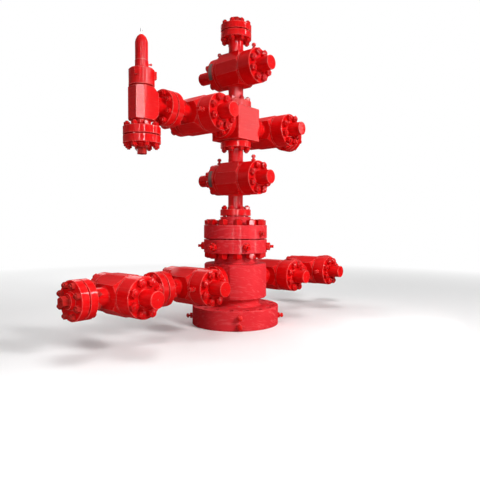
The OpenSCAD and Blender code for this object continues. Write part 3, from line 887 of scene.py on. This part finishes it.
class BoltedJointTree(CopyTree):
    """Rings of studs and nuts, one ring at each marked place, its face along the place's Z."""

    INPUTS = (
        ("Nut", "NodeSocketObject"),
        ("Studs", "NodeSocketInt"),
        ("Circle radius", "NodeSocketFloat"),
        ("First angle", "NodeSocketFloat"),
        ("Grip", "NodeSocketFloat"),
        ("Stud radius", "NodeSocketFloat"),
        ("Nuts on both sides", "NodeSocketBool"),
        ("Loose turn", "NodeSocketFloat"),
        ("Seed", "NodeSocketInt"),
        ("Finish", "NodeSocketMaterial"),
    )
    SHANK_SIDES = 12

    def wire(self) -> None:
        """Adds the ring of nuts, their shanks and the ring on the other side."""
        canvas, given = self.canvas, self.given
        corners = {"Vertices": given["Studs"], "Radius": given["Circle radius"]}
        circle = canvas.add("GeometryNodeMeshCircle", None, corners)
        start = canvas.add("ShaderNodeCombineXYZ", None, {"Z": given["First angle"]})
        ring = self._moved(circle.outputs[0], start.outputs[0], ZERO)
        nuts = self.copies(ring, self.source("Nut"), self._loose_turn())
        across = self._moved(nuts, (math.pi, 0.0, 0.0), self._down(given["Grip"], 1.0))
        none = canvas.add("GeometryNodeJoinGeometry").outputs[0]
        far = canvas.add(
            "GeometryNodeSwitch",
            {"input_type": "GEOMETRY"},
            {"Switch": given["Nuts on both sides"], "False": none, "True": across},
        )
        shank = canvas.add(
            "GeometryNodeMeshCylinder",
            None,
            {"Vertices": self.SHANK_SIDES, "Radius": given["Stud radius"], "Depth": given["Grip"]},
        )
        shanks = self.copies(ring, shank.outputs[0], ZERO)
        shanks = self._moved(shanks, ZERO, self._down(given["Grip"], 0.5))
        joint = canvas.add("GeometryNodeJoinGeometry")
        for part in (nuts, far.outputs[0], shanks):
            self.tree.links.new(part, joint.inputs[0])
        self.close(self.copies(given["Places"], joint.outputs[0], self.marked_turn()))

    def _loose_turn(self) -> bpy.types.NodeSocket:
        """Gives each nut a seeded turn round its stud.

        Returns:
            The rotation.
        """
        slack = Term(self.canvas, self.given["Loose turn"])
        dice = self.canvas.add(
            "FunctionNodeRandomValue",
            {"data_type": "FLOAT"},
            {2: slack * -1.0, 3: slack, "Seed": self.given["Seed"]},
        )
        turn = self.canvas.add("ShaderNodeCombineXYZ", None, {"Z": dice.outputs[1]})
        return self.canvas.add("FunctionNodeEulerToRotation", None, {0: turn.outputs[0]}).outputs[0]

    def _down(self, distance: bpy.types.NodeSocket, share: float) -> bpy.types.NodeSocket:
        """The vector that points down by a share of a distance."""
        depth = Term(self.canvas, distance) * -share
        return self.canvas.add("ShaderNodeCombineXYZ", None, {"Z": depth}).outputs[0]

    def _moved(
        self, pieces: bpy.types.NodeSocket, turn: object, shift: object
    ) -> bpy.types.NodeSocket:
        """Turns and shifts geometry.

        Args:
            pieces: what is moved.
            turn: its rotation.
            shift: its translation.

        Returns:
            The moved geometry.
        """
        inputs = {"Geometry": pieces, "Rotation": turn, "Translation": shift}
        return self.canvas.add("GeometryNodeTransform", None, inputs).outputs[0]


class PlacedCopiesTree(CopyTree):
    """One copy of a small piece at each marked place."""

    INPUTS = (("Piece", "NodeSocketObject"), ("Finish", "NodeSocketMaterial"))

    def wire(self) -> None:
        """Adds the copies."""
        self.close(self.copies(self.given["Places"], self.source("Piece"), self.marked_turn()))


@dataclass(frozen=True)
class Place:
    """Where a copied piece stands, and the direction that its Z points in."""

    at: Vector
    out: Vector

    def turn(self) -> Euler:
        """The rotation from +Z to the outward direction."""
        return self.out.to_track_quat("Z", "Y").to_euler()


class CopyRun:
    """Runs a tree over a set of places and keeps the plain mesh."""

    def __init__(self, name: str, tree: CopyTree, places: Sequence[Place]) -> None:
        """Marks the places.

        Args:
            name: the piece's name.
            tree: the tree to run.
            places: where the copies go.
        """
        self.name = name
        self.tree = tree.tree
        mesh = bpy.data.meshes.new(name + "_places")
        mesh.from_pydata([tuple(place.at) for place in places], [], [])
        turns = mesh.attributes.new("turn", "FLOAT_VECTOR", "POINT")
        turns.data.foreach_set("vector", [part for place in places for part in place.turn()])
        self.marks = bpy.data.objects.new(name + "_places", mesh)
        bpy.context.scene.collection.objects.link(self.marks)

    def make(
        self, inputs: Mapping[str, object], models: Sequence[bpy.types.Object]
    ) -> bpy.types.Object:
        """Makes the piece.

        Args:
            inputs: the tree's inputs by name.
            models: the copied objects, which are removed afterwards.

        Returns:
            The piece as a plain mesh object at the origin.
        """
        modifier = self.marks.modifiers.new("copies", "NODES")
        modifier.node_group = self.tree
        for item in self.tree.interface.items_tree:
            if item.item_type == "SOCKET" and item.in_out == "INPUT" and item.name in inputs:
                modifier[item.identifier] = inputs[item.name]
        graph = bpy.context.evaluated_depsgraph_get()
        graph.update()
        mesh = bpy.data.meshes.new_from_object(self.marks.evaluated_get(graph))
        mesh.name = self.name
        piece = bpy.data.objects.new(self.name, mesh)
        bpy.context.scene.collection.objects.link(piece)
        for spent in (self.marks, *models):
            bpy.data.objects.remove(spent)
        LOG.info("%s: %d faces", self.name, len(mesh.polygons))
        return piece


# Sub-assemblies


class Flow(Enum):
    """How a valve's bore runs."""

    UP = Vector((0.0, 0.0, 1.0))
    ALONG = Vector((1.0, 0.0, 0.0))


class PlateSide(Enum):
    """The side of a rear bonnet that carries the nameplate."""

    LEFT = Vector((-1.0, 0.0, 0.0))
    TOP = Vector((0.0, 0.0, 1.0))
    UNDER = Vector((0.0, 0.0, -1.0))


@dataclass
class GateValve:
    """Where one gate valve is, and what its size gives."""

    name: str
    flow: Flow
    plate: PlateSide
    half: float = 282.5 * MM
    front_face: float = 225.0 * MM
    rear_face: float = 186.0 * MM
    rear_disc_t: float = 60.0 * MM
    rear_r: float = 120.5 * MM
    tail_end: float = 360.0 * MM
    centre: Vector = field(init=False)

    def __post_init__(self) -> None:
        """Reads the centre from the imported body."""
        low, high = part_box(self.name + "_body")
        self.centre = Vector(((low.x + high.x) / 2, 0.0, (low.z + high.z) / 2))

    def end(self, side: int) -> Vector:
        """Centre of a flange face; side is -1 or 1 along the flow."""
        return self.centre + self.flow.value * (self.half * side)


@dataclass
class Bolting:
    """Studs and nuts of every joint in the stack.

    CLAMPED and STUDDED name a valve and its end, -1 or 1 along the flow, where its small flange
    is clamped to another or stands on a studded face.
    """

    CLAMPED = (
        ("swab_valve", 1),
        ("left_wing_valve", -1),
        ("right_wing_valve", 1),
        ("left_inner_casing_valve", -1),
        ("right_inner_casing_valve", 1),
        ("right_outer_casing_valve", 1),
    )
    STUDDED = (
        ("swab_valve", -1),
        ("master_valve", 1),
        ("master_valve", -1),
        ("left_wing_valve", 1),
        ("right_wing_valve", -1),
        ("left_inner_casing_valve", 1),
        ("right_inner_casing_valve", -1),
    )

    valves: Mapping[str, GateValve]
    small_circle: float = 92.1 * MM
    small_count: int = 8
    small_flange: float = 51.2 * MM
    large_circle: float = 201.6 * MM
    large_count: int = 12
    large_flange: float = 103.2 * MM
    bonnet_circle: float = 94.5 * MM
    bonnet_grip: float = 90.0 * MM
    stud_hold: float = 20.0 * MM
    slack: float = math.radians(14.0)
    seed: int = 7

    def build(self, shop: Paintshop) -> list[bpy.types.Object]:
        """Makes all bolting.

        Args:
            shop: the finishes.

        Returns:
            The pieces.
        """
        tree = BoltedJointTree("bolted_joint")
        return [
            *self._small(tree, shop),
            self._large(tree, shop),
            *self._bonnets(tree, shop),
        ]

    def _ring(
        self,
        name: str,
        tree: BoltedJointTree,
        places: Sequence[Place],
        nut: StudEnd,
        sizes: Mapping[str, object],
        material: bpy.types.Material,
    ) -> bpy.types.Object:
        """Makes the bolting of like joints as one piece.

        Args:
            name: the piece's name.
            tree: the joint tree.
            places: one place for each joint, on the seat of its outer nuts.
            nut: the nut and stud end.
            sizes: the ring's sizes, by the tree's input names.
            material: the bolting's finish.

        Returns:
            The piece.
        """
        model = nut.build()
        inputs = {
            "Nut": model,
            "Stud radius": nut.stud_r,
            "Loose turn": self.slack,
            "Seed": self.seed,
            "Finish": material,
            **sizes,
        }
        return CopyRun(name, tree, places).make(inputs, [model])

    def _seat(self, valve: str, side: int, way: int) -> Place:
        """Where the nuts of a small flange joint sit.

        Args:
            valve: the valve at the joint.
            side: its end, -1 or 1 along the flow.
            way: the way that the nuts look, -1 or 1 along the flow.

        Returns:
            The place.
        """
        at = self.valves[valve]
        out = at.flow.value * way
        return Place(at.end(side) + out * self.small_flange, out)

    def _small(self, tree: BoltedJointTree, shop: Paintshop) -> list[bpy.types.Object]:
        """Bolts the small flanges: clamped pairs, and flanges on studded faces.

        Args:
            tree: the joint tree.
            shop: the finishes.

        Returns:
            The pieces.
        """
        up, seat = Flow.UP.value, self.small_flange
        low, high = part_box("choke_outlet_flange")
        choke_face = Vector(((low.x + high.x) / 2, 0.0, high.z))
        pairs = [self._seat(valve, side, side) for valve, side in self.CLAMPED]
        pairs.append(Place(choke_face + up * seat, up))
        studded = [self._seat(valve, side, -side) for valve, side in self.STUDDED]
        # the left end's nuts take the darker red, partly painted shade and partly an aged tint
        aged_and_shaded = [self._seat("left_outer_casing_valve", -1, -1)]
        nut = StudEnd("small_nut", flats=35 * MM, height=22 * MM, stud_r=11 * MM, stand=8 * MM)
        sizes = {
            "Studs": self.small_count,
            "Circle radius": self.small_circle,
            "First angle": math.pi / self.small_count,
        }
        both = {**sizes, "Grip": 2 * seat, "Nuts on both sides": True}
        single = {**sizes, "Grip": seat + self.stud_hold, "Nuts on both sides": False}
        red, old_and_shaded = shop.materials[Finish.BOLT_RED], shop.materials[Finish.AGED_AND_SHADED_RED]
        return [
            self._ring("small_pair_bolting", tree, pairs, nut, both, red),
            self._ring("studded_joint_bolting", tree, studded, nut, single, red),
            self._ring("left_end_bolting", tree, aged_and_shaded, nut, both, old_and_shaded),
        ]

    def _large(self, tree: BoltedJointTree, shop: Paintshop) -> bpy.types.Object:
        """Bolts the adapter to the tubing head.

        Args:
            tree: the joint tree.
            shop: the finishes.

        Returns:
            The piece.
        """
        low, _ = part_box("tubing_head_adapter")
        seat = Vector((0.0, 0.0, low.z + self.large_flange))
        nut = StudEnd("large_nut", flats=60.3 * MM, height=38 * MM, stud_r=19 * MM, stand=6 * MM)
        sizes = {
            "Studs": self.large_count,
            "Circle radius": self.large_circle,
            "First angle": math.pi / self.large_count,
            "Grip": 2 * self.large_flange,
            "Nuts on both sides": True,
        }
        places = [Place(seat, Flow.UP.value)]
        material = shop.materials[Finish.BOLT_RED]
        return self._ring("large_pair_bolting", tree, places, nut, sizes, material)

    def _bonnets(self, tree: BoltedJointTree, shop: Paintshop) -> list[bpy.types.Object]:
        """Bolts the front and the rear bonnets.

        Args:
            tree: the joint tree.
            shop: the finishes.

        Returns:
            The pieces.
        """
        nut = StudEnd("bonnet_nut", flats=46 * MM, height=27 * MM, stud_r=14 * MM, stand=9 * MM)
        valves = self.valves.values()
        front = [Place(valve.centre - BACK * valve.front_face, -BACK) for valve in valves]
        rear = [Place(valve.centre + BACK * valve.rear_face, BACK) for valve in valves]
        sizes = {
            "Studs": self.small_count,
            "Circle radius": self.bonnet_circle,
            "First angle": math.pi / self.small_count,
            "Grip": self.bonnet_grip,
            "Nuts on both sides": False,
        }
        material = shop.materials[Finish.BOLT_RED]
        return [
            self._ring("front_bonnet_bolting", tree, front, nut, sizes, material),
            self._ring("rear_bonnet_bolting", tree, rear, nut, sizes, material),
        ]


@dataclass
class Nameplates:
    """Bare plates bent round the rear bonnets, with their rivets.

    The columns are shares of half a plate's width. The dome's pairs are shares of the rivet's
    radius and height.
    """

    valves: Mapping[str, GateValve]
    width: float = 34 * MM
    length: float = 128 * MM
    thickness: float = 1.2 * MM
    corner_r: float = 4.0 * MM
    sunk: float = 0.4 * MM
    columns: Sequence[float] = (-1.0, -0.3, 0.3, 1.0)
    steps: int = 20
    rivet_r: float = 2.6 * MM
    rivet_h: float = 1.6 * MM
    rivet_foot: float = 0.5 * MM
    rivet_dome: Sequence[Pair] = ((1.0, 0.3), (0.85, 0.7), (0.4, 1.0))
    rivet_sides: int = 10
    rivet_inset: float = 5.0 * MM

    def build(self, shop: Paintshop) -> list[bpy.types.Object]:
        """Makes the plates and their rivets.

        Args:
            shop: the finishes.

        Returns:
            The pieces.
        """
        shape = bmesh.new()
        for valve in self.valves.values():
            self._add_plate(shape, valve)
        plates = mesh_object("nameplates", shape)
        shop.coat(plates, Finish.PLATE)
        run = CopyRun("nameplate_rivets", PlacedCopiesTree("placed_copies"), self._rivet_places())
        model = self._rivet()
        inputs = {"Piece": model, "Finish": shop.materials[Finish.PLATE]}
        return [plates, run.make(inputs, [model])]

    def _frame(self, valve: GateValve) -> tuple[Vector, Vector, Vector]:
        """Reads how a plate lies.

        Args:
            valve: the valve that carries it.

        Returns:
            Centre of its arc, its outward direction and the direction along its length.
        """
        middle = valve.centre + BACK * (valve.rear_face - valve.rear_disc_t / 2)
        return middle, valve.plate.value, valve.flow.value

    def _point(self, valve: GateValve, along: float, across: float, lift: float) -> Vector:
        """A point of the bent plate.

        Args:
            valve: the valve that carries it.
            along: distance along the plate's length from its middle.
            across: distance across it from its middle.
            lift: height above the rim.

        Returns:
            The point.
        """
        middle, out, length = self._frame(valve)
        angle = along / valve.rear_r
        radius = valve.rear_r + lift
        around = out * math.cos(angle) + length * math.sin(angle)
        return middle + around * radius + BACK * across

    def _add_plate(self, shape: bmesh.types.BMesh, valve: GateValve) -> None:
        """Adds one plate with rounded corners.

        Args:
            shape: the bmesh to add to.
            valve: the valve that carries it.
        """
        sheets = []
        corner, last = self.corner_r, len(self.columns) - 1
        for lift in (-self.sunk, self.thickness):
            rows = []
            for i in range(self.steps + 1):
                along = self.length * (i / self.steps - 0.5)
                near_end = max(0.0, abs(along) - (self.length / 2 - corner))
                half = self.width / 2 - corner + math.sqrt(max(0.0, corner**2 - near_end**2))
                points = [self._point(valve, along, share * half, lift) for share in self.columns]
                rows.append([shape.verts.new(point) for point in points])
            sheets.append(rows)
        for rows in sheets:
            for first, second in zip(rows, rows[1:]):
                for j in range(last):
                    shape.faces.new((first[j], second[j], second[j + 1], first[j + 1]))
        low, high = sheets
        for row in (0, self.steps):
            for j in range(last):
                shape.faces.new((low[row][j], low[row][j + 1], high[row][j + 1], high[row][j]))
        for j in (0, last):
            for i in range(self.steps):
                shape.faces.new((low[i][j], low[i + 1][j], high[i + 1][j], high[i][j]))

    def _rivet(self) -> bpy.types.Object:
        """Makes the rivet that is copied.

        Returns:
            The object, which is removed once the copies are made.
        """
        shape = bmesh.new()
        profile = [(self.rivet_r, -self.rivet_foot)]
        profile += [(self.rivet_r * wide, self.rivet_h * up) for wide, up in self.rivet_dome]
        add_turned(shape, profile, self.rivet_sides)
        return mesh_object("rivet", shape, smooth_below=80.0)

    def _rivet_places(self) -> list[Place]:
        """Finds a place near each corner of each plate.

        Returns:
            The rivets' places.
        """
        places = []
        for valve in self.valves.values():
            middle = self._frame(valve)[0]
            for end in (-1, 1):
                for side in (-1, 1):
                    along = end * (self.length / 2 - self.rivet_inset)
                    across = side * (self.width / 2 - self.rivet_inset)
                    at = self._point(valve, along, across, self.thickness)
                    out = at - middle
                    places.append(Place(at, Vector((out.x, 0.0, out.z)).normalized()))
        return places


@dataclass
class TailVents:
    """Small vent fittings in the ends of the tail caps.

    The ball's pairs are radius and depth below the tip, in ball radii. Its neck starts sunk in
    the hexagon.
    """

    valves: Mapping[str, GateValve]
    flats: float = 17 * MM
    hex_t: float = 7 * MM
    washer: float = 0.5 * MM
    sunk: float = 1.0 * MM
    neck: float = 0.6
    ball_r: float = 5.5 * MM
    ball: Sequence[Pair] = ((0.6, 2.0), (1.0, 1.4), (1.0, 0.6), (0.55, 0.0))
    length: float = 17 * MM
    sides: int = 14

    def build(self, shop: Paintshop) -> list[bpy.types.Object]:
        """Makes the vents.

        Args:
            shop: the finishes.

        Returns:
            The pieces.
        """
        shape = bmesh.new()
        add_hex_nut(shape, self.flats, self.hex_t, self.washer)
        radius = self.ball_r
        profile = [(radius * self.neck, self.hex_t - self.sunk)]
        profile += [(radius * wide, self.length - radius * deep) for wide, deep in self.ball]
        add_turned(shape, profile, self.sides)
        model = mesh_object("vent", shape, smooth_below=60.0)
        valves = self.valves.values()
        places = [Place(valve.centre + BACK * valve.tail_end, BACK) for valve in valves]
        run = CopyRun("tail_vents", PlacedCopiesTree("placed_vents"), places)
        inputs = {"Piece": model, "Finish": shop.materials[Finish.BOLT_RED]}
        return [run.make(inputs, [model])]


# Studio


@dataclass(frozen=True)
class Lamp:
    """A soft rectangular lamp that the camera doesn't see.

    One that is for glints shows in glossy surfaces only, as a window does, and adds no light.
    """

    name: str
    at: Point
    aim: Point
    size: Pair
    power: float
    glint: bool = False

    def build(self) -> None:
        """Makes the lamp."""
        data = bpy.data.lights.new(self.name, "AREA")
        data.shape = "RECTANGLE"
        data.size, data.size_y = self.size
        data.energy = self.power
        lamp = bpy.data.objects.new(self.name, data)
        lamp.location = self.at
        ahead = Vector(self.aim) - Vector(self.at)
        lamp.rotation_euler = ahead.to_track_quat("-Z", "Y").to_euler()
        lamp.visible_camera = False
        lamp.visible_diffuse = not self.glint
        bpy.context.scene.collection.objects.link(lamp)


@dataclass
class Studio:
    """Camera, floor, lamps and background."""

    eye: Point = (-2.79323, -2.38511, 0.76366)
    azimuth: float = -50.0514
    pitch: float = -2.0406
    roll: float = 0.1766
    focal_px: float = 480.951
    image_px: float = 480.0
    sensor: float = 36.0
    near_clip: float = 0.05
    floor_half: float = 30.0
    ambient: float = 0.04
    lamps: Sequence[Lamp] = (
        Lamp("key", (-0.3, -4.9, 2.9), (-0.2, 0.0, 0.9), (1.1, 1.1), 230.0),
        Lamp("near_strip", (-5.0, -3.05, 2.1), (-0.4, 0.0, 1.2), (0.5, 4.0), 300.0, glint=True),
        Lamp("front_strip", (-2.97, -4.55, 2.1), (-0.4, 0.0, 1.2), (0.45, 4.0), 500.0, glint=True),
        Lamp("side_strip", (2.0, -4.07, 2.1), (-0.4, 0.0, 1.2), (0.40, 4.0), 320.0, glint=True),
        Lamp("side_pane", (3.2, -2.7, 2.4), (0.0, 0.0, 1.55), (1.0, 1.2), 36.0, glint=True),
        Lamp("left_soft", (-4.2, -1.0, 1.9), (-0.2, 0.0, 1.2), (1.4, 1.4), 16.0),
        Lamp("left_fill", (-2.1, -0.9, 0.8), (-1.2, 0.0, 0.2), (0.7, 0.7), 7.0),
        Lamp("low_fill", (0.5, -1.6, 0.5), (0.0, 0.0, 0.6), (1.0, 0.6), 7.0),
        Lamp("overhead", (-0.3, -0.6, 7.0), (-0.3, 0.0, 0.0), (3.0, 3.0), 205.0),
        Lamp("back_soft", (1.8, 4.2, 3.0), (0.0, 0.0, 1.0), (2.4, 2.4), 115.0),
    )

    def build(self, shop: Paintshop) -> None:
        """Makes the whole studio.

        Args:
            shop: the finishes.
        """
        self._camera()
        self._floor(shop)
        self._world()
        for lamp in self.lamps:
            lamp.build()

    def _camera(self) -> None:
        """Places the camera at the photograph's viewing angle."""
        turn, tilt = math.radians(self.azimuth), math.radians(self.pitch)
        level = math.cos(tilt)
        ahead = Vector((-math.sin(turn) * level, math.cos(turn) * level, math.sin(tilt)))
        right = Vector((math.cos(turn), math.sin(turn), 0.0))
        up = right.cross(ahead)
        roll = math.radians(self.roll)
        side = math.cos(roll) * right + math.sin(roll) * up
        top = math.cos(roll) * up - math.sin(roll) * right
        data = bpy.data.cameras.new("camera")
        data.sensor_fit = "HORIZONTAL"
        data.sensor_width = self.sensor
        data.lens = self.focal_px / self.image_px * self.sensor
        data.clip_start = self.near_clip
        camera = bpy.data.objects.new("camera", data)
        axes = Matrix((side, top, -ahead)).transposed().to_4x4()
        camera.matrix_world = Matrix.Translation(self.eye) @ axes
        bpy.context.scene.collection.objects.link(camera)
        bpy.context.scene.camera = camera

    def _floor(self, shop: Paintshop) -> None:
        """Lays the floor at the underside of the bottom flange.

        Args:
            shop: the finishes.
        """
        half = self.floor_half
        shape = bmesh.new()
        corners = ((-half, -half), (half, -half), (half, half), (-half, half))
        shape.faces.new([shape.verts.new((x, y, 0.0)) for x, y in corners])
        floor = mesh_object("floor", shape)
        if floor.data.polygons[0].normal.z < 0:
            floor.data.flip_normals()
        shop.coat(floor, Finish.FLOOR)

    def _world(self) -> None:
        """Sets soft ambient light, and a white background to camera, gloss and glass."""
        world = bpy.data.worlds.new("studio")
        world.use_nodes = True
        world.node_tree.nodes.clear()
        canvas = Canvas(world.node_tree)
        path = canvas.add("ShaderNodeLightPath").outputs
        seen = Term(canvas, path["Is Camera Ray"]).larger(path["Is Glossy Ray"])
        seen = seen.larger(path["Is Transmission Ray"])
        soft = canvas.add("ShaderNodeBackground", None, {"Color": WHITE, "Strength": self.ambient})
        white = canvas.add("ShaderNodeBackground", None, {"Color": WHITE, "Strength": 1.0})
        parts = {0: seen, 1: soft.outputs[0], 2: white.outputs[0]}
        both = canvas.add("ShaderNodeMixShader", None, parts)
        canvas.add("ShaderNodeOutputWorld", None, {"Surface": both.outputs[0]})
        bpy.context.scene.world = world
        bpy.context.scene.view_settings.view_transform = "Standard"


VALVES = {
    "master_valve": (Flow.UP, PlateSide.LEFT),
    "swab_valve": (Flow.UP, PlateSide.LEFT),
    "left_wing_valve": (Flow.ALONG, PlateSide.TOP),
    "right_wing_valve": (Flow.ALONG, PlateSide.TOP),
    "left_inner_casing_valve": (Flow.ALONG, PlateSide.UNDER),
    "left_outer_casing_valve": (Flow.ALONG, PlateSide.UNDER),
    "right_inner_casing_valve": (Flow.ALONG, PlateSide.UNDER),
    "right_outer_casing_valve": (Flow.ALONG, PlateSide.UNDER),
}


def main() -> None:
    """Builds the looks around the frame."""
    logging.basicConfig(level=logging.INFO, format="%(name)s: %(message)s")
    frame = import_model()
    shop = Paintshop()
    Studio().build(shop)
    shop.coat_frame(frame)
    valves = {name: GateValve(name, flow, plate) for name, (flow, plate) in VALVES.items()}
    for assembly in (Bolting(valves), Nameplates(valves), TailVents(valves)):
        for piece in assembly.build(shop):
            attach(piece, BODY)
            LOG.info("%s rides on %s", piece.name, BODY)


if __name__ == "__main__":
    main()
